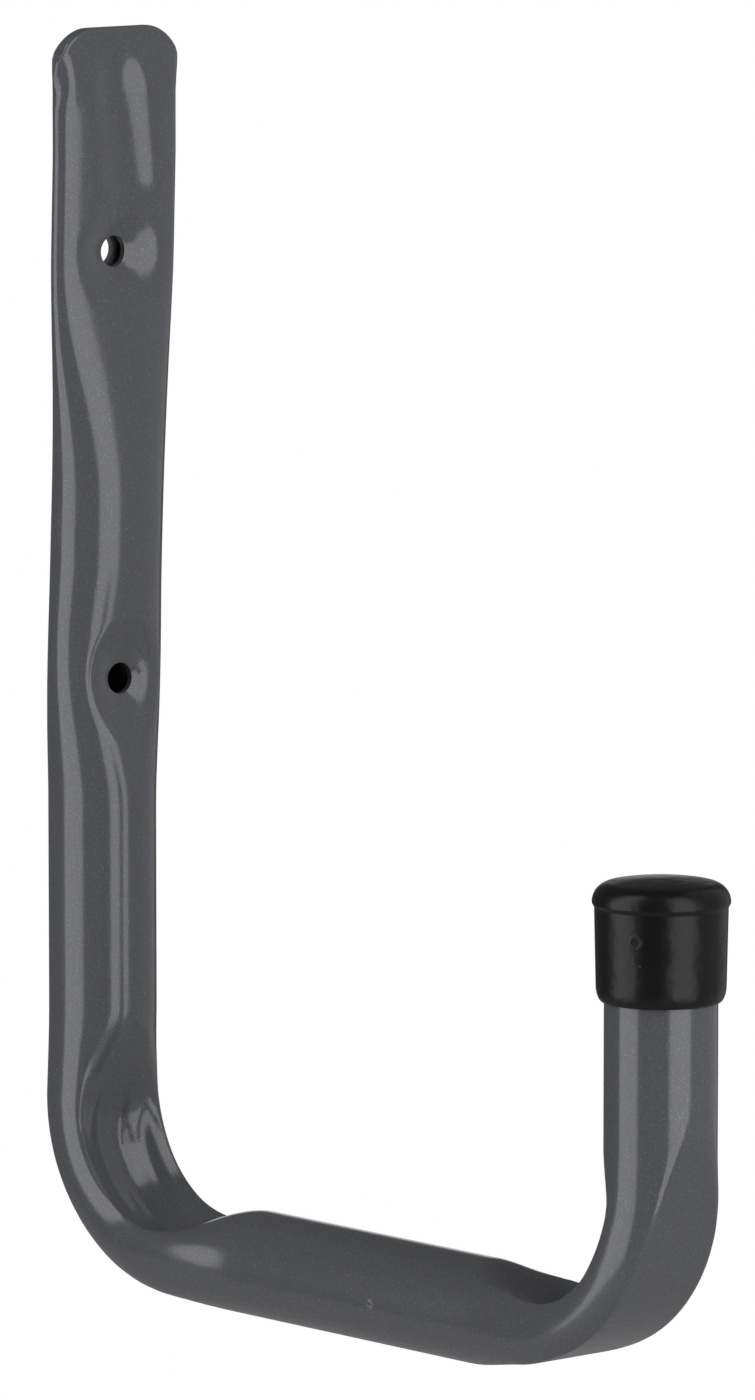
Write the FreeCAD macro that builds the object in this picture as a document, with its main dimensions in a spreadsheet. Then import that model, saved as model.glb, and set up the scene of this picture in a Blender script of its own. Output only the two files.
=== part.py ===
import FreeCAD, Part
import math
import os

Vector = FreeCAD.Vector

# Driving dimensions in millimetres.
# The origin lies on the leg's axis, midway between the two screw holes.
# The leg stands along Z, and the arm reaches forward from it along -Y.
SIZES = (
    ("tube_diameter", 19.0),          # outside of the round tube
    ("tube_wall", 1.2),
    ("arm_reach", 144.3),             # leg axis to upright axis
    ("arm_drop", 98.9),               # lower screw hole to the arm's axis
    ("upright_height", 76.1),         # arm's axis to the tube's open end
    ("hole_diameter", 5.5),
    ("hole_spacing", 75.0),
    ("end_margin", 39.3),             # upper screw hole to the top end
    ("end_corner_radius", 7.0),       # rounded corners of the flat end
    # leg pressed flat at its upper end
    ("press_gap", 0.2),               # left between the walls at the very end
    ("shut_length", 3.0),             # end stretch with no hollow
    ("end_press_length", 12.0),       # over which the end is thinner than the strap
    ("strap_thickness", 5.6),         # at the upper hole
    ("strap_fade", 44.0),             # below the upper hole, where the strap opens
    ("waist_thickness", 15.6),        # between the holes
    ("nip_thickness", 11.8),          # at the lower hole
    ("nip_length", 22.0),             # from the waist to the lower hole
    ("round_length", 26.0),           # from the lower hole to the round tube
    ("strap_advance", 4.4),           # top end forward of the leg's axis
    ("dimple_depth", 2.1),            # pressed in about each screw hole
    ("dimple_width", 16.5),
    # bends: a former dents the inside, and the outside flattens
    ("wall_bend_radius", 25.6),
    ("wall_bend_dent", 9.2),
    ("wall_bend_wheel", 18.0),        # radius of the former
    ("wall_bend_outside", 41.0),
    ("tip_bend_radius", 27.1),
    ("tip_bend_dent", 8.8),
    ("tip_bend_wheel", 16.5),
    ("tip_bend_outside", 46.7),
    ("former_width", 7.0),            # of the former's flat rim, between its sloping flanks
    ("former_flank", 10.0),           # width of each flank
    ("former_fall", 6.0),             # drop of each flank
    # push-on cap
    ("cap_rim_wall", 2.05),           # thickness round the tube, at the top
    ("cap_lip_wall", 1.5),            # and at the foot
    ("cap_height", 20.7),
    ("cap_shoulder_radius", 3.4),
    ("cap_lip_bevel", 1.0),
    ("cap_roof", 3.0),                # above the tube's end
    ("cap_clearance", 0.05),          # on the radius, over the tube
)

EDGE_SHARE = 0.85                     # a flat section's edge radius, of half its thickness
WIDEST_FACE = 0.6                     # radians, half the arc of a round section's front
OPENING_STEPS = (0.3, 0.7)            # of a fade, where the section is also set out
BEND_BORE_SHARE = 0.58                # width of the hollow in a bend, of the tube's diameter
QUARTER_TURN = math.pi / 2
SHOULDER_STEPS = 2                    # bevels that round the cap's shoulder
FACET_TURNS = [math.radians(angle) for angle in (25, 65, 115, 155)]

# Places that several pieces share, as rules on the sheet's sizes
RADIUS = "(Sizes.tube_diameter / 2)"
TOP = "(Sizes.hole_spacing / 2 + Sizes.end_margin)"
ARM_LEVEL = "(-Sizes.hole_spacing / 2 - Sizes.arm_drop)"
ROUND_LEVEL = "(-Sizes.hole_spacing / 2 - Sizes.round_length)"
FLAT_LENGTH = "(Sizes.end_margin + Sizes.hole_spacing + Sizes.round_length)"
ADVANCE_SLOPE = f"(Sizes.strap_advance / {FLAT_LENGTH})"

ALONG_Y = FreeCAD.Rotation(Vector(1, 0, 0), 90)
ALONG_X = FreeCAD.Rotation(Vector(0, 1, 0), 90)
AGAINST_X = FreeCAD.Rotation(Vector(0, 1, 0), -90)
WALL_TURN = FreeCAD.Rotation(Vector(0, 1, 0), Vector(0, 0, -1), Vector(-1, 0, 0), "XYZ")
TIP_TURN = FreeCAD.Rotation(Vector(0, 0, -1), Vector(0, -1, 0), Vector(-1, 0, 0), "XYZ")

# Each bend's centre, its turn and the way along Y to its outer side
BENDS = (
    ("wall_bend", "-Sizes.wall_bend_radius", f"{ARM_LEVEL} + Sizes.wall_bend_radius", WALL_TURN, "+"),
    ("tip_bend", "-Sizes.arm_reach + Sizes.tip_bend_radius",
     f"{ARM_LEVEL} + Sizes.tip_bend_radius", TIP_TURN, "-"),
)


def size_sheet(doc):
    sheet = doc.addObject("Spreadsheet::Sheet", "Sizes")
    for row, (name, value) in enumerate(SIZES, start=1):
        sheet.set(f"A{row}", name)
        sheet.set(f"B{row}", str(value))
        sheet.setAlias(f"B{row}", name)
    doc.recompute()
    return sheet


def read(sheet, name):
    return float(getattr(sheet, name))


def bind(feature, rules):
    for name, rule in rules.items():
        feature.setExpression(name, rule)
    return feature


def place(feature, x, y, z, rotation=None):
    if rotation:
        feature.Placement.Rotation = rotation
    return bind(feature, {"Placement.Base.x": x, "Placement.Base.y": y, "Placement.Base.z": z})


def cut(doc, name, base, tool):
    feature = doc.addObject("Part::Cut", name)
    feature.Base = base
    feature.Tool = tool
    return feature


def cylinder(doc, name, radius, height):
    return bind(doc.addObject("Part::Cylinder", name), {"Radius": radius, "Height": height})


def quarter_bend(doc, name, sweep_radius, section_radius):
    bend = doc.addObject("Part::Torus", name)
    bend.Angle3 = 90
    return bind(bend, {"Radius1": sweep_radius, "Radius2": section_radius})


def quarter_slot(doc, name, inner_radius, outer_radius, y, z, turn):
    """The flat hollow left in a crushed bend."""
    width = f"{BEND_BORE_SHARE} * Sizes.tube_diameter"
    sector = cylinder(doc, f"{name}_sector", outer_radius, width)
    sector.Angle = 90
    core = cylinder(doc, f"{name}_core", inner_radius, width)
    for piece in (sector, core):
        place(piece, f"{width} / 2", y, z, turn)
    return cut(doc, name, sector, core)


def oval_wire(centre, half_width, half_thickness):
    """A flattened round section in a level plane: two broad arcs joined by two tight ones."""
    spare = half_width - half_thickness
    rise = 2 * (1 - EDGE_SHARE) * half_thickness
    face = WIDEST_FACE if rise >= WIDEST_FACE * spare else rise / spare
    swell = spare / (math.sin(face) + math.cos(face) - 1)
    edge = half_width - swell * math.sin(face)
    join_x = (swell + edge) * math.sin(face)
    join_y = edge * math.cos(face)
    front_right, back_right = Vector(join_x, -join_y, 0), Vector(join_x, join_y, 0)
    front_left, back_left = Vector(-join_x, -join_y, 0), Vector(-join_x, join_y, 0)
    arcs = (
        (front_left, Vector(0, -half_thickness, 0), front_right),
        (front_right, Vector(half_width, 0, 0), back_right),
        (back_right, Vector(0, half_thickness, 0), back_left),
        (back_left, Vector(-half_width, 0, 0), front_left),
    )
    return Part.Wire([Part.Arc(*(centre + point for point in arc)).toShape() for arc in arcs])


def facet_wire(centre, half_width, half_thickness):
    """A plain eight-sided outline inside the same section, for the hollow."""
    flat = half_width - half_thickness
    corners = []
    for turn in FACET_TURNS:
        corners.append(Vector(flat + half_thickness * math.sin(turn), -half_thickness * math.cos(turn), 0))
    corners += [Vector(-corner.x, corner.y, 0) for corner in reversed(corners)]
    return Part.makePolygon([centre + corner for corner in corners + corners[:1]])


def strap_stations(sheet, inset):
    """Distance from the top end, and thickness of the pressed leg there."""
    end = 2 * read(sheet, "tube_wall") + read(sheet, "press_gap")
    strap = read(sheet, "strap_thickness")
    waist = read(sheet, "waist_thickness")
    nip = read(sheet, "nip_thickness")
    round_tube = read(sheet, "tube_diameter")
    press_length = read(sheet, "end_press_length")
    upper_hole = read(sheet, "end_margin")
    lower_hole = upper_hole + read(sheet, "hole_spacing")
    open_end = upper_hole + read(sheet, "strap_fade")
    round_end = lower_hole + read(sheet, "round_length")
    start = read(sheet, "shut_length") if inset else 0.0
    stations = [(start, end + (strap - end) * start / press_length), (press_length, strap)]
    spans = (
        (upper_hole, strap, open_end, waist),
        (lower_hole - read(sheet, "nip_length"), waist, lower_hole, nip),
        (lower_hole, nip, round_end, round_tube),
    )
    for first, first_thickness, last, last_thickness in spans:
        if first > stations[-1][0]:
            stations.append((first, first_thickness))
        for part in OPENING_STEPS:
            ease = part * part * (3 - 2 * part)
            along = first + (last - first) * part
            stations.append((along, first_thickness + (last_thickness - first_thickness) * ease))
        stations.append((last, last_thickness))
    return stations


def strap_form(doc, name, sheet, inset):
    """The pressed leg, whose girth stays that of the round tube."""
    radius = read(sheet, "tube_diameter") / 2
    top = read(sheet, "hole_spacing") / 2 + read(sheet, "end_margin")
    stations = strap_stations(sheet, inset)
    flat_length = stations[-1][0]
    wires = []
    for along, thickness in stations:
        half_thickness = thickness / 2
        half_width = half_thickness + QUARTER_TURN * (radius - half_thickness)
        advance = read(sheet, "strap_advance") * (1 - along / flat_length)
        centre = Vector(0, -advance, top - along)
        outline = facet_wire if inset else oval_wire
        wires.append(outline(centre, half_width - inset, half_thickness - inset))
    feature = doc.addObject("Part::Feature", name)
    feature.Shape = Part.makeLoft(wires, True, True)
    return feature


def straight_runs(doc, name, inset):
    """Round leg below the strap, arm and upright. The hollow runs out past the open end."""
    section = f"{RADIUS} - {inset}"
    leg = cylinder(doc, f"{name}_leg", section,
                   f"{ROUND_LEVEL} - {ARM_LEVEL} - Sizes.wall_bend_radius")
    place(leg, "0", "0", f"{ARM_LEVEL} + Sizes.wall_bend_radius")
    arm = cylinder(doc, f"{name}_arm", section,
                   "Sizes.arm_reach - Sizes.wall_bend_radius - Sizes.tip_bend_radius")
    place(arm, "0", "-Sizes.wall_bend_radius", ARM_LEVEL, ALONG_Y)
    upright = cylinder(doc, f"{name}_upright", section,
                       f"Sizes.upright_height - Sizes.tip_bend_radius + {inset}")
    place(upright, "0", "-Sizes.arm_reach", f"{ARM_LEVEL} + Sizes.tip_bend_radius")
    return [leg, arm, upright]


def round_bends(doc):
    bends = []
    for bend, centre_y, centre_z, turn, _ in BENDS:
        piece = quarter_bend(doc, f"outside_{bend}", f"Sizes.{bend}_radius", RADIUS)
        bends.append(place(piece, "0", centre_y, centre_z, turn))
    return bends


def bend_hollows(doc):
    """Between the former's dent and the flattened outside, a wall's thickness from each."""
    hollows = []
    for bend, centre_y, centre_z, turn, _ in BENDS:
        round_outside = f"(Sizes.{bend}_radius + {RADIUS})"
        flattening = f"(Sizes.{bend}_outside - {round_outside}) * (sqrt(2) - 1)"
        outer = f"{round_outside} - {flattening} - Sizes.tube_wall"
        inner = f"{dent_radius(bend)} + Sizes.tube_wall"
        hollows.append(quarter_slot(doc, f"hollow_{bend}", inner, outer, centre_y, centre_z, turn))
    return hollows


def outside_corner(doc, name, radius, turn_y, turn_z, toward_wall):
    """What lies outside a rounded corner of the bent tube, seen from the side."""
    block = bind(doc.addObject("Part::Box", f"{name}_block"),
                 {"Length": "2 * Sizes.tube_diameter", "Width": f"2 * {radius}", "Height": f"2 * {radius}"})
    near = turn_y if toward_wall else f"{turn_y} - 2 * {radius}"
    place(block, "-Sizes.tube_diameter", near, f"{turn_z} - 2 * {radius}")
    rounding = cylinder(doc, f"{name}_rounding", radius, "2 * Sizes.tube_diameter")
    place(rounding, "-Sizes.tube_diameter", turn_y, turn_z, ALONG_X)
    return cut(doc, name, block, rounding)


def dent_radius(bend):
    """From the bend's centre to the bottom of its dent."""
    return f"(Sizes.{bend}_radius - {RADIUS} + Sizes.{bend}_dent)"


def former(doc, name, radius, y, z):
    """The wheel that a bend was pressed over: a flat rim between two sloping flanks."""
    rim = cylinder(doc, f"{name}_rim", radius, "Sizes.former_width")
    place(rim, "-Sizes.former_width / 2", y, z, ALONG_X)
    wheel = [rim]
    for side, sign, turn in (("right", "", ALONG_X), ("left", "-", AGAINST_X)):
        flank = doc.addObject("Part::Cone", f"{name}_{side}_flank")
        bind(flank, {"Radius1": radius, "Radius2": f"{radius} - Sizes.former_fall",
                     "Height": "Sizes.former_flank"})
        wheel.append(place(flank, f"{sign}Sizes.former_width / 2", y, z, turn))
    fused = doc.addObject("Part::MultiFuse", name)
    fused.Shapes = wheel
    return fused


def bend_pressings(doc, name, inset):
    """The dents of the formers and the flattened outsides of both bends."""
    tools = []
    outer_faces = {"wall_bend": RADIUS, "tip_bend": f"-Sizes.arm_reach - {RADIUS}"}
    for bend, centre_y, centre_z, _, outward in BENDS:
        shift = f"({dent_radius(bend)} - Sizes.{bend}_wheel) / sqrt(2)"
        tools.append(former(doc, f"{name}_{bend}_former", f"(Sizes.{bend}_wheel + {inset})",
                            f"{centre_y} {outward} {shift}", f"{centre_z} - {shift}"))
        inward = "-" if outward == "+" else "+"
        turn_y = f"({outer_faces[bend]} {inward} Sizes.{bend}_outside)"
        turn_z = f"({ARM_LEVEL} - {RADIUS} + Sizes.{bend}_outside)"
        radius = f"(Sizes.{bend}_outside - {inset})"
        tools.append(outside_corner(doc, f"{name}_{bend}_outside", radius, turn_y, turn_z, outward == "+"))
    return tools


def leg_pressings(doc, name, inset):
    """The dimples about the screw holes."""
    tools = []
    holes = (
        ("upper", "Sizes.hole_spacing / 2", "Sizes.strap_thickness / 2"),
        ("lower", "-Sizes.hole_spacing / 2", "Sizes.nip_thickness / 2"),
    )
    ball = "((Sizes.dimple_width ^ 2 / 4 + Sizes.dimple_depth ^ 2) / (2 * Sizes.dimple_depth))"
    for hole, level, front in holes:
        dimple = doc.addObject("Part::Sphere", f"{name}_{hole}_dimple")
        bind(dimple, {"Radius": f"{ball} + {inset}"})
        advance = f"{ADVANCE_SLOPE} * ({level} - {ROUND_LEVEL})"
        place(dimple, "0", f"-({advance} + {front} + {ball} - Sizes.dimple_depth)", level)
        tools.append(dimple)
    return tools


def corner_trim(doc, name, sign):
    """What lies outside a rounded corner of the flat end, seen from the front."""
    end_edge = "(Sizes.tube_wall + Sizes.press_gap / 2)"
    half_width = f"(pi / 2 * ({RADIUS} - {end_edge}) + {end_edge})"
    centre = f"({half_width} - Sizes.end_corner_radius)"
    level = f"{TOP} - Sizes.end_corner_radius"
    block = bind(doc.addObject("Part::Box", f"{name}_block"),
                 {"Length": "2 * Sizes.end_corner_radius", "Width": "2 * Sizes.tube_diameter",
                  "Height": "2 * Sizes.end_corner_radius"})
    near_side = centre if sign > 0 else f"-{centre} - 2 * Sizes.end_corner_radius"
    place(block, near_side, "-Sizes.tube_diameter", level)
    rounding = cylinder(doc, f"{name}_rounding", "Sizes.end_corner_radius", "2 * Sizes.tube_diameter")
    place(rounding, centre if sign > 0 else f"-{centre}", "Sizes.tube_diameter", level, ALONG_Y)
    return cut(doc, name, block, rounding)


def make_hook_tube(doc, sheet):
    """The outside and the hollow are set out alike. The inset is how far inside the tube's skin
    a piece lies, and a pressing grows by it."""
    wall = read(sheet, "tube_wall")
    forms = []
    kinds = (("outside", 0.0, "0", round_bends), ("hollow", wall, "Sizes.tube_wall", bend_hollows))
    for name, depth, inset, make_bends in kinds:
        form = doc.addObject("Part::MultiFuse", f"{name}_bent")
        strap = strap_form(doc, f"{name}_strap", sheet, depth)
        form.Shapes = [strap] + make_bends(doc) + straight_runs(doc, name, inset)
        pressings = bend_pressings(doc, name, inset) + leg_pressings(doc, name, inset)
        for number, tool in enumerate(pressings, start=1):
            form = cut(doc, f"{name}_pressed_{number}", form, tool)
        forms.append(form)
    tube = cut(doc, "hollow_tube", *forms)
    for name, level in (("upper", "Sizes.hole_spacing / 2"), ("lower", "-Sizes.hole_spacing / 2")):
        hole = cylinder(doc, f"{name}_hole", "Sizes.hole_diameter / 2", "2 * Sizes.tube_diameter")
        place(hole, "0", "Sizes.tube_diameter", level, ALONG_Y)
        tube = cut(doc, f"tube_with_{name}_hole", tube, hole)
    for name, sign in (("right", 1), ("left", -1)):
        tube = cut(doc, f"tube_with_{name}_corner", tube, corner_trim(doc, f"{name}_corner", sign))
    tube.Label = "hook_tube"
    return tube


def make_end_cap(doc):
    """A tapered cup with a rounded shoulder: cones between rings, and a bore for the tube's end."""
    lip = f"{RADIUS} + Sizes.cap_lip_wall"
    rings = [(f"{lip} - Sizes.cap_lip_bevel", "0"), (lip, "Sizes.cap_lip_bevel")]
    for step in range(SHOULDER_STEPS + 1):
        turn = f"({step} * 90deg / {SHOULDER_STEPS})"
        rings.append((f"{RADIUS} + Sizes.cap_rim_wall - Sizes.cap_shoulder_radius * (1 - cos({turn}))",
                      f"Sizes.cap_height - Sizes.cap_shoulder_radius * (1 - sin({turn}))"))
    foot = f"{ARM_LEVEL} + Sizes.upright_height - Sizes.cap_height + Sizes.cap_roof"
    bands = []
    for number, (low, high) in enumerate(zip(rings, rings[1:]), start=1):
        band = doc.addObject("Part::Cone", f"cap_band_{number}")
        bind(band, {"Radius1": low[0], "Radius2": high[0], "Height": f"{high[1]} - ({low[1]})"})
        bands.append(place(band, "0", "-Sizes.arm_reach", f"{foot} + {low[1]}"))
    outside = doc.addObject("Part::MultiFuse", "cap_outside")
    outside.Shapes = bands
    bore = cylinder(doc, "cap_bore", f"{RADIUS} + Sizes.cap_clearance", "Sizes.cap_height - Sizes.cap_roof")
    place(bore, "0", "-Sizes.arm_reach", foot)
    cap = cut(doc, "cap", outside, bore)
    cap.Label = "end_cap"
    return cap


def check(doc, subparts):
    for item in doc.Objects:
        if "Invalid" in item.State or "Error" in item.State:
            raise RuntimeError(f"{item.Name} failed: {item.State}")
    for subpart in subparts:
        shape = subpart.Shape
        if shape.isNull() or not shape.isValid() or len(shape.Solids) != 1:
            raise RuntimeError(f"{subpart.Label} is not one sound solid")


def main():
    doc = FreeCAD.newDocument("utility_hook")
    sheet = size_sheet(doc)
    subparts = [make_hook_tube(doc, sheet), make_end_cap(doc)]
    doc.recompute()
    check(doc, subparts)
    os.makedirs("parts", exist_ok=True)
    for subpart in subparts:
        subpart.Shape.exportStep(os.path.join("parts", f"{subpart.Label}.step"))
        print(subpart.Label, round(subpart.Shape.Volume, 1), "mm3")


main()
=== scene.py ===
import math
import bmesh
import bpy
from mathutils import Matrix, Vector


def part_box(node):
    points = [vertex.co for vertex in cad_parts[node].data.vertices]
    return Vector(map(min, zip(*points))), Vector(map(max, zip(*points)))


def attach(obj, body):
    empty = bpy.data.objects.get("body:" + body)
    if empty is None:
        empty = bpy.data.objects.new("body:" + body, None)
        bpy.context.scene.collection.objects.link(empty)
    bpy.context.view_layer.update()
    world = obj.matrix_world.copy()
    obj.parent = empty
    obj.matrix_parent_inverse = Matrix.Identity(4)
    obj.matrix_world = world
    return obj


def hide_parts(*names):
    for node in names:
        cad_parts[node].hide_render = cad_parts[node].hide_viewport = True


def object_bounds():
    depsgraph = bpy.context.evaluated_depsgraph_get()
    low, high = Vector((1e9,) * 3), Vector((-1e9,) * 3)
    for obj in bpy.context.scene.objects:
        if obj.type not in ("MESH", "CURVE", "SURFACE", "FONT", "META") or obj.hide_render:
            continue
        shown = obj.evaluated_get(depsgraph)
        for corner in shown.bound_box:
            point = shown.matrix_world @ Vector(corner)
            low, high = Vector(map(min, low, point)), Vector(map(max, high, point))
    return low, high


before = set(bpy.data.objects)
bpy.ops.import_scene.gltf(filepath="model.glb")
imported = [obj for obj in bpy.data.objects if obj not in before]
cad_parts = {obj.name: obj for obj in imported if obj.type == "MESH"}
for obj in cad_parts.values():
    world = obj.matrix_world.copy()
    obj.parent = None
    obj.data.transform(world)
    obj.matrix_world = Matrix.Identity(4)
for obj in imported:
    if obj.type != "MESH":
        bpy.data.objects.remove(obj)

cadLow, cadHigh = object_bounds()
milli = 0.001
pureWhite = (1.0, 1.0, 1.0, 1.0)
print("stage: frame loaded")


class Field:
    def __init__(self, tree, socket):
        self.tree = tree
        self.socket = socket

    def node(self, kind, settings, sockets, output=0):
        made = self.tree.nodes.new(kind)
        for name, value in settings.items():
            setattr(made, name, value)
        for name, value in sockets.items():
            if isinstance(value, Field):
                self.tree.links.new(value.socket, made.inputs[name])
            else:
                made.inputs[name].default_value = value
        return Field(self.tree, made.outputs[output])

    def maths(self, operation, *values):
        return self.node("ShaderNodeMath", {"operation": operation}, dict(enumerate(values)))

    def __add__(self, other):
        return self.maths("ADD", self, other)

    def __radd__(self, other):
        return self.maths("ADD", other, self)

    def __sub__(self, other):
        return self.maths("SUBTRACT", self, other)

    def __rsub__(self, other):
        return self.maths("SUBTRACT", other, self)

    def __mul__(self, other):
        return self.maths("MULTIPLY", self, other)

    def __rmul__(self, other):
        return self.maths("MULTIPLY", other, self)

    def __truediv__(self, other):
        return self.maths("DIVIDE", self, other)

    def __rtruediv__(self, other):
        return self.maths("DIVIDE", other, self)

    def __pow__(self, other):
        return self.maths("POWER", self, other)

    def least(self, other):
        return self.maths("MINIMUM", self, other)

    def most(self, other):
        return self.maths("MAXIMUM", self, other)

    def within(self, low, high):
        return self.most(low).least(high)

    def sine(self):
        return self.maths("SINE", self)

    def cosine(self):
        return self.maths("COSINE", self)

    def root(self):
        return self.maths("SQRT", self.most(0.0))

    def absolute(self):
        return self.maths("ABSOLUTE", self)

    def below(self, other):
        return self.maths("LESS_THAN", self, other)

    def ease(self, start, end, low=0.0, high=1.0):
        return self.node("ShaderNodeMapRange", {"interpolation_type": "SMOOTHSTEP"},
                         {0: self, 1: start, 2: end, 3: low, 4: high})

    def window(self, start, full, fade, stop):
        return self.ease(start, full) * (1.0 - self.ease(fade, stop))

    def hump(self):
        return (1.0 - self * self).most(0.0) ** 2.0

    def pair(self, other):
        return (self * self + other * other).root()


def newMaterial(name):
    material = bpy.data.materials.new(name)
    material.use_nodes = True
    tree = material.node_tree
    shader = tree.nodes["Principled BSDF"]
    coords = Field(tree, tree.nodes.new("ShaderNodeTexCoord").outputs["Object"])
    return material, shader, coords


def feed(shader, sockets):
    for name, value in sockets.items():
        if isinstance(value, Field):
            value.tree.links.new(value.socket, shader.inputs[name])
        else:
            shader.inputs[name].default_value = value


def noise(coords, scale, detail):
    return coords.node("ShaderNodeTexNoise", {}, {"Vector": coords, "Scale": scale, "Detail": detail})


spotCore = 0.3  # share of a spot's radius that is full


def spot(coords, centre, radius):
    away = coords.node("ShaderNodeVectorMath", {"operation": "DISTANCE"}, {0: coords, 1: centre}, 1)
    return away.ease(radius * spotCore, radius, 1.0, 0.0)


def blend(factor, first, second):
    return factor.node("ShaderNodeMix", {"data_type": "RGBA"}, {0: factor, 6: first, 7: second}, 2)


def bumped(height, strength, distance):
    sockets = {"Strength": strength, "Distance": distance, "Height": height}
    return height.node("ShaderNodeBump", {}, sockets)


# Tube: sizes in millimetres, distances along it from the flat end
tubeBox = [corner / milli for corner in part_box("hook_tube")]
capBox = [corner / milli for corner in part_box("end_cap")]
capRoof = 3.0  # the roof rests on the tube's open end
tubeSet = {
    "radius": 9.5, "wall": 1.2, "rim": 1.1, "rimRows": 6, "hollowStart": 3.0,
    "rows": 600, "innerRows": 190, "around": 88,
    "reach": -(capBox[0].y + capBox[1].y) / 2, "top": tubeBox[1].z, "openEnd": capBox[1].z - capRoof,
    "wallBend": 25.56, "tipBend": 27.13,  # radii of the axis
    "endEdge": 1.5, "endLength": 12.0, "endTrim": 0.02, "trimLength": 14.0,
    "cornerRadius": 7.75, "cornerRun": 14.0,
    "strapEdge": 3.3, "strapStart": 38.0, "strapStop": 84.0, "midEdge": 7.9,
    "roundStart": 90.0, "roundStop": 140.0, "nip": 1.59, "nipLength": 22.0,
    "leanSlope": 0.0332, "leanStop": 140.0, "leanBlend": 16.0, "sway": 0.28,
    "swell": 0.75, "swellMore": 0.13, "swellPlace": 55.0, "swellLength": 17.0, "thinnest": 0.06,
    "dish": 1.75, "dishHalf": 6.0, "dishCentre": 18.0, "dishLean": 0.11,
    "upperHole": 39.3, "lowerHole": 114.3, "holeRadius": 2.75, "drillTurn": 0.031,
    "upperDimple": 2.9, "upperReach": 8.2, "upperBulge": 1.0,
    "lowerDimple": 2.8, "lowerReach": 8.8, "lowerBulge": 0.4, "dimpleStretch": 0.75,
    "lipDrop": 0.7, "lipReach": 4.4,
    "wallCrush": 9.0, "tipCrush": 8.75, "wallHalf": 12.0, "tipHalf": 13.5,
    "leafStart": 0.55, "leafPower": 1.55, "leafLip": 0.75, "leafLipPlace": 0.95,
    "ripple": 0.17, "rippleLength": 4.5, "rippleHalf": 12.0, "rippleDrift": 0.04,
    "bulge": 1.05, "bulgePlace": 4.0, "bulgeLength": 17.0, "bulgeArc": 12.0, "bulgeHalf": 7.0,
    "lip": 0.35, "lipArc": 10.5, "lipHalf": 2.4,
    "wallFlat": 2.38, "tipFlat": 4.39, "flatBlend": 0.7, "widening": 0.12, "ovalLoss": 0.3,
}

# Where each form starts, is full, fades and stops: in millimetres along the strap,
# and as shares of the turn round a bend or of the end's rounded corner
spans = {
    "swell": (4.0, 16.0, 96.0, 136.0), "dish": (0.8, 10.5, 26.0, 35.0),
    "sway": (10.0, 24.0, 60.0, 100.0), "cornerRim": (0.7, 1.0),
    "wallShare": (-0.4, 0.3, 0.7, 1.45), "wallFlat": (-0.55, 0.3, 0.7, 1.6),
    "tipShare": (-0.312, 0.3, 0.62, 1.162), "tipFlat": (-0.6, 0.25, 0.62, 1.5),
    "leafShare": (-0.36, 0.24, 0.62, 1.162), "leafWidth": (-0.36, 0.6),
    "ovalWall": (-0.1, 0.6), "ovalTip": (0.3, 1.0),
}
girthGain = 1.05  # an oval reaches a little wider than the slot it stands for
meshSet = {"seamGap": 2e-6, "rimGap": 4e-6, "drillSides": 64, "drillLength": 0.06}  # metres


def edgeRadius(s, cut, size):
    opening = s.ease(size["strapStart"], size["strapStop"])
    edge = size["strapEdge"] + (size["midEdge"] - size["strapEdge"]) * opening
    edge = edge + (size["radius"] - size["midEdge"]) * s.ease(size["roundStart"], size["roundStop"])
    edge = edge - size["nip"] * ((s - size["lowerHole"]) / size["nipLength"]).hump()
    return edge - (size["strapEdge"] - size["endEdge"]) * (1.0 - cut.ease(0.0, size["endLength"]))


def ovalSide(arc, half, edge, radius, inset, swell):
    # between a slot with round edges and an oval of the same girth
    flat = (radius - edge) * (math.pi / 2)
    turn = ((arc - flat) / edge).within(0.0, math.pi)
    kept = edge - inset
    wide = arc * (math.pi / half)
    slotSide = arc.least(flat).least(half - arc) + kept * turn.sine()
    side = slotSide + swell * ((flat + kept) * girthGain * wide.sine() - slotSide)
    deep = kept * turn.cosine()
    return side, deep + swell * (kept * wide.cosine() - deep)


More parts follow.
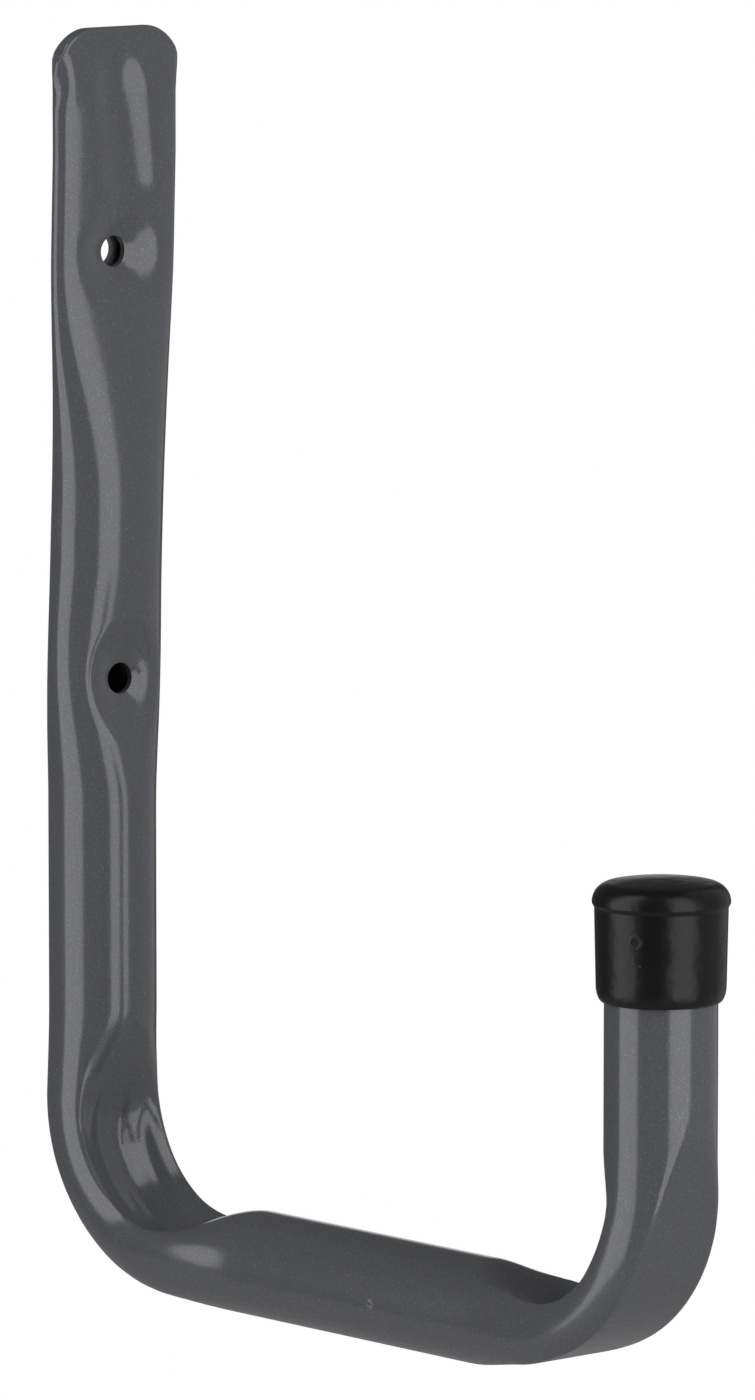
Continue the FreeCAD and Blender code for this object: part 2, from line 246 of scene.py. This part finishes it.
def tubePoint(size, row, lap):
    radius = size["radius"]
    half = radius * math.pi
    arc = lap.absolute() * half
    back = half - arc
    legEnd = size["legEnd"]
    wallEnd = legEnd + size["wallBend"] * (math.pi / 2)
    armRun = size["reach"] - size["wallBend"] - size["tipBend"]
    armEnd = wallEnd + armRun
    tipEnd = armEnd + size["tipBend"] * (math.pi / 2)
    total = tipEnd + size["openEnd"] - size["armLevel"] - size["tipBend"]

    # rows run down the outside, then back up the hollow, and the first and last are pressed shut
    outer = row.below(size["rows"] - 0.5)
    shut = (row.below(0.5) + 1.0 - row.below(size["rows"] + size["innerRows"] - 1.5)).least(1.0)
    rimTurn = ((row - 1.0) / size["rimRows"]).within(0.0, 1.0) * (math.pi / 2)
    rimInset = size["rim"] * (1.0 - rimTurn.sine())
    outPart = ((row - size["rimRows"] - 1.0) / (size["rows"] - size["rimRows"] - 2.0)).most(0.0)
    alongOut = size["rim"] * (1.0 - rimTurn.cosine()) + outPart * (total - size["rim"])
    inPart = (row - size["rows"]) / (size["innerRows"] - 1.0)
    alongIn = total - inPart * (total - size["hollowStart"])
    cut = outer * alongOut + (1.0 - outer) * alongIn

    # rounded corners of the flat end
    endSide, _ = ovalSide(arc, half, size["endEdge"], radius, 0.0, 0.0)
    endHalf = (radius - size["endEdge"]) * (math.pi / 2) + size["endEdge"]
    past = (endSide - (endHalf - size["cornerRadius"])).within(0.0, size["cornerRadius"])
    drop = size["cornerRadius"] - (size["cornerRadius"] * size["cornerRadius"] - past * past).root()
    s = cut + drop * (1.0 - cut / size["cornerRun"]).most(0.0)
    rimInset = rimInset * (1.0 - (past / size["cornerRadius"]).ease(*spans["cornerRim"]))

    edge = edgeRadius(s, cut, size)
    start, full, fade, stop = spans["swell"]
    swell = size["swell"] + size["swellMore"] * ((s - size["swellPlace"]) / size["swellLength"]).hump()
    swell = swell * cut.ease(start, full) * (1.0 - s.ease(fade, stop))
    hollow = size["wall"].least(edge - size["thinnest"])
    inset = outer * rimInset + (1.0 - outer) * hollow
    side, depth = ovalSide(arc, half, edge, radius, inset, swell)
    side = side * (1.0 - size["endTrim"] * (1.0 - cut.ease(0.0, size["trimLength"])))
    depth = depth * (1.0 - shut)

    # pressings of the strap and of the screw holes
    start, full, fade, stop = spans["dish"]
    dish = size["dish"] * (1.0 - shut) * cut.ease(start, full) * (1.0 - s.ease(fade, stop))
    dishMiddle = size["dishLean"] * (s - size["dishCentre"])
    depth = depth - dish * ((lap * half - dishMiddle) / size["dishHalf"]).hump()
    for hole in ("upper", "lower"):
        away = s - size[hole + "Hole"]
        reach = size[hole + "Reach"]
        stretched = away * size["dimpleStretch"]
        depth = depth - size[hole + "Dimple"] * (stretched.pair(arc) / reach).hump()
        depth = depth - size["lipDrop"] * (away.pair(arc) / size["lipReach"]).hump()
        depth = depth - size[hole + "Bulge"] * (away.pair(back) / reach).hump()

    # crushed bends
    wallTurn = (s - legEnd) / (size["wallBend"] * (math.pi / 2))
    tipTurn = (s - armEnd) / (size["tipBend"] * (math.pi / 2))
    wallShare = wallTurn.window(*spans["wallShare"])
    tipShare = tipTurn.window(*spans["tipShare"])
    flatness = (size["wallFlat"] + size["flatBlend"]) * wallTurn.window(*spans["wallFlat"])
    flatness = flatness + (size["tipFlat"] + size["flatBlend"]) * tipTurn.window(*spans["tipFlat"])
    depth = depth - size["wallCrush"] * wallShare * (arc / size["wallHalf"]).hump()
    leafShare = tipTurn.window(*spans["leafShare"])
    leafHalf = size["tipHalf"] * tipTurn.ease(*spans["leafWidth"], size["leafStart"], 1.0)
    leafArc = arc / leafHalf
    leaf = (1.0 - leafArc * leafArc).most(0.0) ** size["leafPower"]
    depth = depth - size["tipCrush"] * leafShare * leaf
    outside = inset + flatness - radius - size["flatBlend"]
    depth = depth.maths("SMOOTH_MAX", depth, outside, size["flatBlend"])
    wave = (lap * half * (2.0 * math.pi / size["rippleLength"]) + s * size["rippleDrift"]).cosine()
    depth = depth + size["ripple"] * wave * (arc / size["rippleHalf"]).hump() * (wallShare + tipShare)
    bent = wallTurn.ease(*spans["ovalWall"]) * (1.0 - tipTurn.ease(*spans["ovalTip"]))
    depth = depth * (1.0 - size["ovalLoss"] / radius * bent)
    depth = depth + size["lip"] * ((arc - size["lipArc"]) / size["lipHalf"]).hump() * wallShare
    leafEdge = (arc - leafHalf * size["leafLipPlace"]) / size["lipHalf"]
    depth = depth + size["leafLip"] * leafEdge.hump() * leafShare
    side = side * (1.0 + size["widening"] * (wallShare + tipShare))
    swelling = ((s - wallEnd - size["bulgePlace"]) / size["bulgeLength"]).hump()
    swelling = swelling * ((arc - size["bulgeArc"]) / size["bulgeHalf"]).hump()
    side = side + size["bulge"] * swelling

    # forward lean of the pressed leg
    easing = ((size["leanStop"] - s) / size["leanBlend"]).within(0.0, 1.0)
    straight = (size["leanStop"] - size["leanBlend"] - s).most(0.0)
    run = size["leanBlend"] * 0.5 * easing * easing + straight
    depth = depth + size["leanSlope"] * run

    # place on the bent axis
    first = ((s - legEnd) / size["wallBend"]).within(0.0, math.pi / 2)
    second = ((s - armEnd) / size["tipBend"]).within(0.0, math.pi / 2)
    forward = size["wallBend"] * (1.0 - first.cosine()) + (s - wallEnd).within(0.0, armRun)
    forward = forward + size["tipBend"] * second.sine()
    level = size["top"] - s.least(legEnd) - size["wallBend"] * first.sine()
    level = level + size["tipBend"] * (1.0 - second.cosine()) + (s - tipEnd).most(0.0)
    turn = first + second
    x = side * lap.maths("SIGN", lap) + size["sway"] * s.window(*spans["sway"])
    return x, 0.0 - forward - depth * turn.cosine(), level + depth * turn.sine()


def buildTube(material):
    sizes = dict(tubeSet)
    sizes["armLevel"] = tubeBox[0].z + tubeSet["radius"]
    sizes["legEnd"] = sizes["top"] - sizes["armLevel"] - sizes["wallBend"]
    tree = bpy.data.node_groups.new("bentTube", "GeometryNodeTree")
    tree.interface.new_socket("Geometry", in_out="OUTPUT", socket_type="NodeSocketGeometry")
    keys = {}
    for name in sizes:
        socket = tree.interface.new_socket(name, in_out="INPUT", socket_type="NodeSocketFloat")
        keys[name] = socket.identifier
    given = tree.nodes.new("NodeGroupInput")
    size = {name: Field(tree, given.outputs[name]) for name in sizes}
    base = size["radius"]
    rowCount = size["rows"] + size["innerRows"]
    grid = base.node("GeometryNodeMeshGrid", {},
                     {0: 1.0, 1: 1.0, 2: rowCount, 3: size["around"] + 1.0})
    place = Field(tree, tree.nodes.new("GeometryNodeInputPosition").outputs[0])
    split = tree.nodes.new("ShaderNodeSeparateXYZ")
    tree.links.new(place.socket, split.inputs[0])
    row = base.maths("ROUND", (Field(tree, split.outputs[0]) + 0.5) * (rowCount - 1.0))
    lap = Field(tree, split.outputs[1]) * 2.0
    x, y, z = tubePoint(size, row, lap)
    point = base.node("ShaderNodeCombineXYZ", {}, {0: x * milli, 1: y * milli, 2: z * milli})
    shaped = base.node("GeometryNodeSetPosition", {}, {"Geometry": grid, "Position": point})
    closed = base.node("GeometryNodeMergeByDistance", {},
                       {"Geometry": shaped, "Distance": meshSet["seamGap"]})
    skin = base.node("GeometryNodeTriangulate", {}, {"Mesh": closed})
    drills = tree.nodes.new("GeometryNodeJoinGeometry")
    for hole in ("upper", "lower"):
        drill = base.node("GeometryNodeMeshCylinder", {},
                          {"Vertices": meshSet["drillSides"], "Depth": meshSet["drillLength"],
                           "Radius": size["holeRadius"] * milli})
        centre = base.node("ShaderNodeCombineXYZ", {}, {2: (size["top"] - size[hole + "Hole"]) * milli})
        turned = base.node("ShaderNodeCombineXYZ", {}, {0: math.pi / 2, 1: size["drillTurn"]})
        moved = base.node("GeometryNodeTransform", {},
                          {"Geometry": drill, "Translation": centre, "Rotation": turned})
        tree.links.new(moved.socket, drills.inputs[0])
    pierced = base.node("GeometryNodeMeshBoolean", {"operation": "DIFFERENCE", "solver": "MANIFOLD"},
                        {"Mesh 1": skin, "Mesh 2": Field(tree, drills.outputs[0])})
    cleaned = base.node("GeometryNodeMergeByDistance", {},
                        {"Geometry": pierced, "Distance": meshSet["rimGap"]})
    solid = base.node("GeometryNodeRealizeInstances", {}, {"Geometry": cleaned})
    painted = base.node("GeometryNodeSetMaterial", {}, {"Geometry": solid, "Material": material})
    result = tree.nodes.new("NodeGroupOutput")
    tree.links.new(painted.socket, result.inputs[0])

    seed = bpy.data.objects.new("tubeSeed", bpy.data.meshes.new("tubeSeed"))
    bpy.context.collection.objects.link(seed)
    modifier = seed.modifiers.new("bentTube", "NODES")
    modifier.node_group = tree
    for name, value in sizes.items():
        modifier[keys[name]] = float(value)
    shown = seed.evaluated_get(bpy.context.evaluated_depsgraph_get())
    mesh = bpy.data.meshes.new_from_object(shown)
    bpy.data.objects.remove(seed)
    tube = bpy.data.objects.new("hookTube", mesh)
    bpy.context.collection.objects.link(tube)
    return tube


def smoothed(thing, creaseAngle):
    thing.data.shade_smooth()
    thing.data.set_sharp_from_angle(angle=math.radians(creaseAngle))
    return thing


# Cap: a lathe profile in millimetres, from its own foot
capSet = {"rim": 11.55, "neck": 11.15, "lip": 10.87, "footWidth": 1.15, "footHeight": 2.9,
          "shoulder": 3.3, "shoulderStop": 80.0, "bead": 4.05, "beadSize": 1.0,
          "bore": 9.55, "boreFoot": 0.2, "roof": capRoof, "around": 128, "arcSteps": 12}


def arcPoints(centre, width, height, start, stop, count):
    turns = [math.radians(start + (stop - start) * step / count) for step in range(count + 1)]
    return [(centre[0] + width * math.cos(turn), centre[1] + height * math.sin(turn)) for turn in turns]


def capProfile(height):
    steps, shoulder, rim = capSet["arcSteps"], capSet["shoulder"], capSet["rim"]
    wide, tall = capSet["footWidth"], capSet["footHeight"]
    beadLevel = height - capSet["bead"]
    profile = [(capSet["bore"], height - capSet["roof"]), (capSet["bore"], capSet["boreFoot"])]
    profile += arcPoints((capSet["lip"] - wide, tall), wide, tall, -90, 0, steps)
    for step in range(steps):
        part = step / (steps - 1)
        rise = part * part * (3 - 2 * part)
        level = beadLevel - capSet["beadSize"] * (1 - part)
        profile.append((capSet["neck"] + (rim - capSet["neck"]) * rise, level))
    crown = (rim - shoulder, beadLevel)
    profile += arcPoints(crown, shoulder, shoulder, 0, capSet["shoulderStop"], 2 * steps)[1:]
    edgeX, edgeZ = profile[-1]
    for step in range(1, 2 * steps):
        part = step / (2 * steps)
        profile.append((edgeX * (1 - part), edgeZ + (height - edgeZ) * (1 - (1 - part) ** 2)))
    return profile


def buildCap(material):
    low, high = capBox
    centre = (low + high) / 2
    height = high.z - low.z
    shape = bmesh.new()
    rings = []
    for x, z in capProfile(height):
        ring = []
        for step in range(capSet["around"]):
            turn = 2 * math.pi * step / capSet["around"]
            corner = Vector((centre.x + x * math.cos(turn), centre.y + x * math.sin(turn), low.z + z))
            ring.append(shape.verts.new(corner * milli))
        rings.append(ring)
    for lower, upper in zip(rings, rings[1:]):
        for index in range(len(lower)):
            after = (index + 1) % len(lower)
            shape.faces.new((lower[index], lower[after], upper[after], upper[index]))
    for ring, level in ((rings[0], height - capSet["roof"]), (rings[-1], height)):
        middle = shape.verts.new(Vector((centre.x, centre.y, low.z + level)) * milli)
        for index in range(len(ring)):
            shape.faces.new((ring[index], ring[(index + 1) % len(ring)], middle))
    bmesh.ops.recalc_face_normals(shape, faces=shape.faces)
    mesh = bpy.data.meshes.new("endCap")
    shape.to_mesh(mesh)
    shape.free()
    mesh.materials.append(material)
    cap = bpy.data.objects.new("endCap", mesh)
    bpy.context.collection.objects.link(cap)
    return cap


# Paint: grey with pale metal flecks, a fine peel and one scuff on the arm
paintSet = {
    "dark": (0.0735, 0.0755, 0.0835, 1.0), "fleck": (0.14, 0.14, 0.15, 1.0), "roughness": 0.16,
    "fleckScale": 3600.0, "fleckLow": 0.58, "fleckHigh": 0.72, "fleckMetal": 0.25, "fleckRough": 0.08,
    "peelScale": 500.0, "peelStrength": 0.06, "peelDepth": 0.0002,
    "scuff": (-0.0092, -0.082, -0.1369), "scuffSize": 0.0014, "scuffScale": 2500.0,
    "scuffLow": 0.4, "scuffHigh": 0.6, "scuffTint": 0.8, "scuffRough": 0.2, "scuffRise": 2.0,
}


def tubePaint():
    material, shader, coords = newMaterial("tubePaint")
    flecks = noise(coords, paintSet["fleckScale"], 1.0)
    flecks = flecks.ease(paintSet["fleckLow"], paintSet["fleckHigh"])
    peel = noise(coords, paintSet["peelScale"], 2.0)
    scratches = noise(coords, paintSet["scuffScale"], 1.0)
    scratches = scratches.ease(paintSet["scuffLow"], paintSet["scuffHigh"])
    scuff = spot(coords, paintSet["scuff"], paintSet["scuffSize"]) * scratches
    colour = blend(flecks, paintSet["dark"], paintSet["fleck"])
    roughness = paintSet["roughness"] + flecks * paintSet["fleckRough"] + scuff * paintSet["scuffRough"]
    relief = peel + scuff * paintSet["scuffRise"]
    feed(shader, {"Base Color": blend(scuff * paintSet["scuffTint"], colour, paintSet["fleck"]),
                  "Metallic": flecks * paintSet["fleckMetal"], "Roughness": roughness,
                  "Normal": bumped(relief, paintSet["peelStrength"], paintSet["peelDepth"])})
    return material


# Cap finish: a moulding mark and a pale speck are placed in millimetres from the cap's foot
vinylSet = {
    "colour": (0.0045, 0.0045, 0.005, 1.0), "mark": (0.02, 0.02, 0.021, 1.0),
    "speck": (0.5, 0.5, 0.5, 1.0), "roughness": 0.25, "specular": 0.25,
    "waveScale": 190.0, "waveRough": 0.12, "grainScale": 900.0, "grainRise": 0.14,
    "markPlace": (-10.2, -4.7, 11.3), "markSize": 0.0016,
    "ringTint": 0.5, "ringRough": 0.1, "ringRise": 0.3,
    "speckPlace": (-9.8, -5.3, 7.4), "speckSize": 0.00024,
    "bumpStrength": 0.32, "bumpDepth": 0.0008,
}


def onCap(place):
    low, high = capBox
    return Vector((place[0], (low.y + high.y) / 2 + place[1], low.z + place[2])) * milli


def capVinyl():
    material, shader, coords = newMaterial("capVinyl")
    wave = noise(coords, vinylSet["waveScale"], 2.0)
    grain = noise(coords, vinylSet["grainScale"], 3.0)
    mark = spot(coords, onCap(vinylSet["markPlace"]), vinylSet["markSize"])
    ring = mark * (1.0 - mark) * 4.0
    speck = spot(coords, onCap(vinylSet["speckPlace"]), vinylSet["speckSize"])
    colour = blend(ring * vinylSet["ringTint"], vinylSet["colour"], vinylSet["mark"])
    roughness = vinylSet["roughness"] + wave * vinylSet["waveRough"] + ring * vinylSet["ringRough"]
    relief = wave + grain * vinylSet["grainRise"] + ring * vinylSet["ringRise"]
    feed(shader, {"Base Color": blend(speck, colour, vinylSet["speck"]), "Roughness": roughness,
                  "Normal": bumped(relief, vinylSet["bumpStrength"], vinylSet["bumpDepth"]),
                  "Specular IOR Level": vinylSet["specular"]})
    return material


tube = smoothed(buildTube(tubePaint()), creaseAngle=38)
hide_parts("hook_tube")
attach(tube, "root")
print("stage: tube", len(tube.data.polygons))

cap = smoothed(buildCap(capVinyl()), creaseAngle=50)
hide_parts("end_cap")
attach(cap, "root")
print("stage: cap", len(cap.data.polygons))

# Camera at the photograph's viewing angle
viewSet = {"aim": (0.0, -0.0733, -0.0347), "azimuth": 41.4, "elevation": 7.43,
           "distance": 1.703, "lens": 257.14}
azimuth = math.radians(viewSet["azimuth"])
elevation = math.radians(viewSet["elevation"])
toCamera = Vector((-math.sin(azimuth) * math.cos(elevation), -math.cos(azimuth) * math.cos(elevation),
                   math.sin(elevation)))
aim = Vector(viewSet["aim"])
camera = bpy.data.objects.new("camera", bpy.data.cameras.new("camera"))
camera.data.lens = viewSet["lens"]
camera.location = aim + toCamera * viewSet["distance"]
camera.rotation_euler = toCamera.to_track_quat("Z", "Y").to_euler()
bpy.context.collection.objects.link(camera)
bpy.context.scene.camera = camera

# Tall soft boxes, placed by their bearing from the camera
lightSet = {"left": {"bearing": -67.5, "width": 0.75, "foot": -0.52, "top": 2.1, "power": 14.2},
            "right": {"bearing": 38.0, "width": 0.69, "foot": -0.9, "top": 2.1, "power": 16.4},
            "rear": {"bearing": 104.0, "width": 1.86, "foot": -0.9, "top": 2.1, "power": 5.8}}
lightDistance = 0.9


def softBox(name, bearing, width, foot, top, power):
    data = bpy.data.lights.new(name, "AREA")
    data.shape = "RECTANGLE"
    data.size = width
    data.size_y = top - foot
    data.energy = power
    box = bpy.data.objects.new(name, data)
    turn = azimuth - math.radians(bearing)
    away = Vector((-math.sin(turn), -math.cos(turn), 0.0))
    box.location = aim + away * lightDistance + Vector((0.0, 0.0, (top + foot) / 2))
    box.rotation_euler = away.to_track_quat("Z", "Y").to_euler()
    box.visible_camera = False
    bpy.context.collection.objects.link(box)
    return box


[softBox(name, **values) for name, values in lightSet.items()]

# Pale floor below the hook, plain white to the camera
floorSet = {"size": 2.4, "drop": 0.35, "colour": (0.6, 0.6, 0.6, 1.0), "roughness": 0.9}


def buildFloor():
    shape = bmesh.new()
    bmesh.ops.create_grid(shape, x_segments=1, y_segments=1, size=floorSet["size"] / 2)
    mesh = bpy.data.meshes.new("floor")
    shape.to_mesh(mesh)
    shape.free()
    material, shader, coords = newMaterial("floorCard")
    feed(shader, {"Base Color": floorSet["colour"], "Roughness": floorSet["roughness"]})
    tree = material.node_tree
    white = coords.node("ShaderNodeEmission", {}, {"Color": pureWhite, "Strength": 1.0})
    path = tree.nodes.new("ShaderNodeLightPath")
    seen = Field(tree, path.outputs["Is Camera Ray"]) + Field(tree, path.outputs["Is Transmission Ray"])
    matt = Field(tree, shader.outputs[0])
    card = coords.node("ShaderNodeMixShader", {}, {0: seen, 1: matt, 2: white})
    tree.links.new(card.socket, tree.nodes["Material Output"].inputs["Surface"])
    mesh.materials.append(material)
    floor = bpy.data.objects.new("floor", mesh)
    floor.location = Vector((aim.x, aim.y, cadLow[2] - floorSet["drop"]))
    bpy.context.collection.objects.link(floor)
    return floor


buildFloor()

# Dim fill all round, and a white sweep behind the hook that reflections see too,
# in degrees from its middle
worldSet = {"fill": 0.1, "sweepFull": 3.0, "sweepEdge": 11.0}


def studioWorld():
    world = bpy.data.worlds.new("studio")
    world.use_nodes = True
    bpy.context.scene.world = world
    tree = world.node_tree
    path = tree.nodes.new("ShaderNodeLightPath")
    direct, glossy, through = [Field(tree, path.outputs["Is " + kind + " Ray"])
                               for kind in ("Camera", "Glossy", "Transmission")]
    heading = Field(tree, tree.nodes.new("ShaderNodeTexCoord").outputs["Generated"])
    behind = (math.sin(azimuth), math.cos(azimuth), 0.0)
    ahead = heading.node("ShaderNodeVectorMath", {"operation": "DOT_PRODUCT"},
                         {0: heading, 1: behind}, 1)
    edge, full = [math.cos(math.radians(worldSet[key])) for key in ("sweepEdge", "sweepFull")]
    shown = (direct + through + glossy * ahead.ease(edge, full)).least(1.0)
    fill = worldSet["fill"]
    tree.nodes["Background"].inputs["Color"].default_value = pureWhite
    tree.links.new((fill + shown * (1.0 - fill)).socket, tree.nodes["Background"].inputs["Strength"])


studioWorld()
bpy.context.scene.view_settings.view_transform = "Standard"
print("stage: studio")
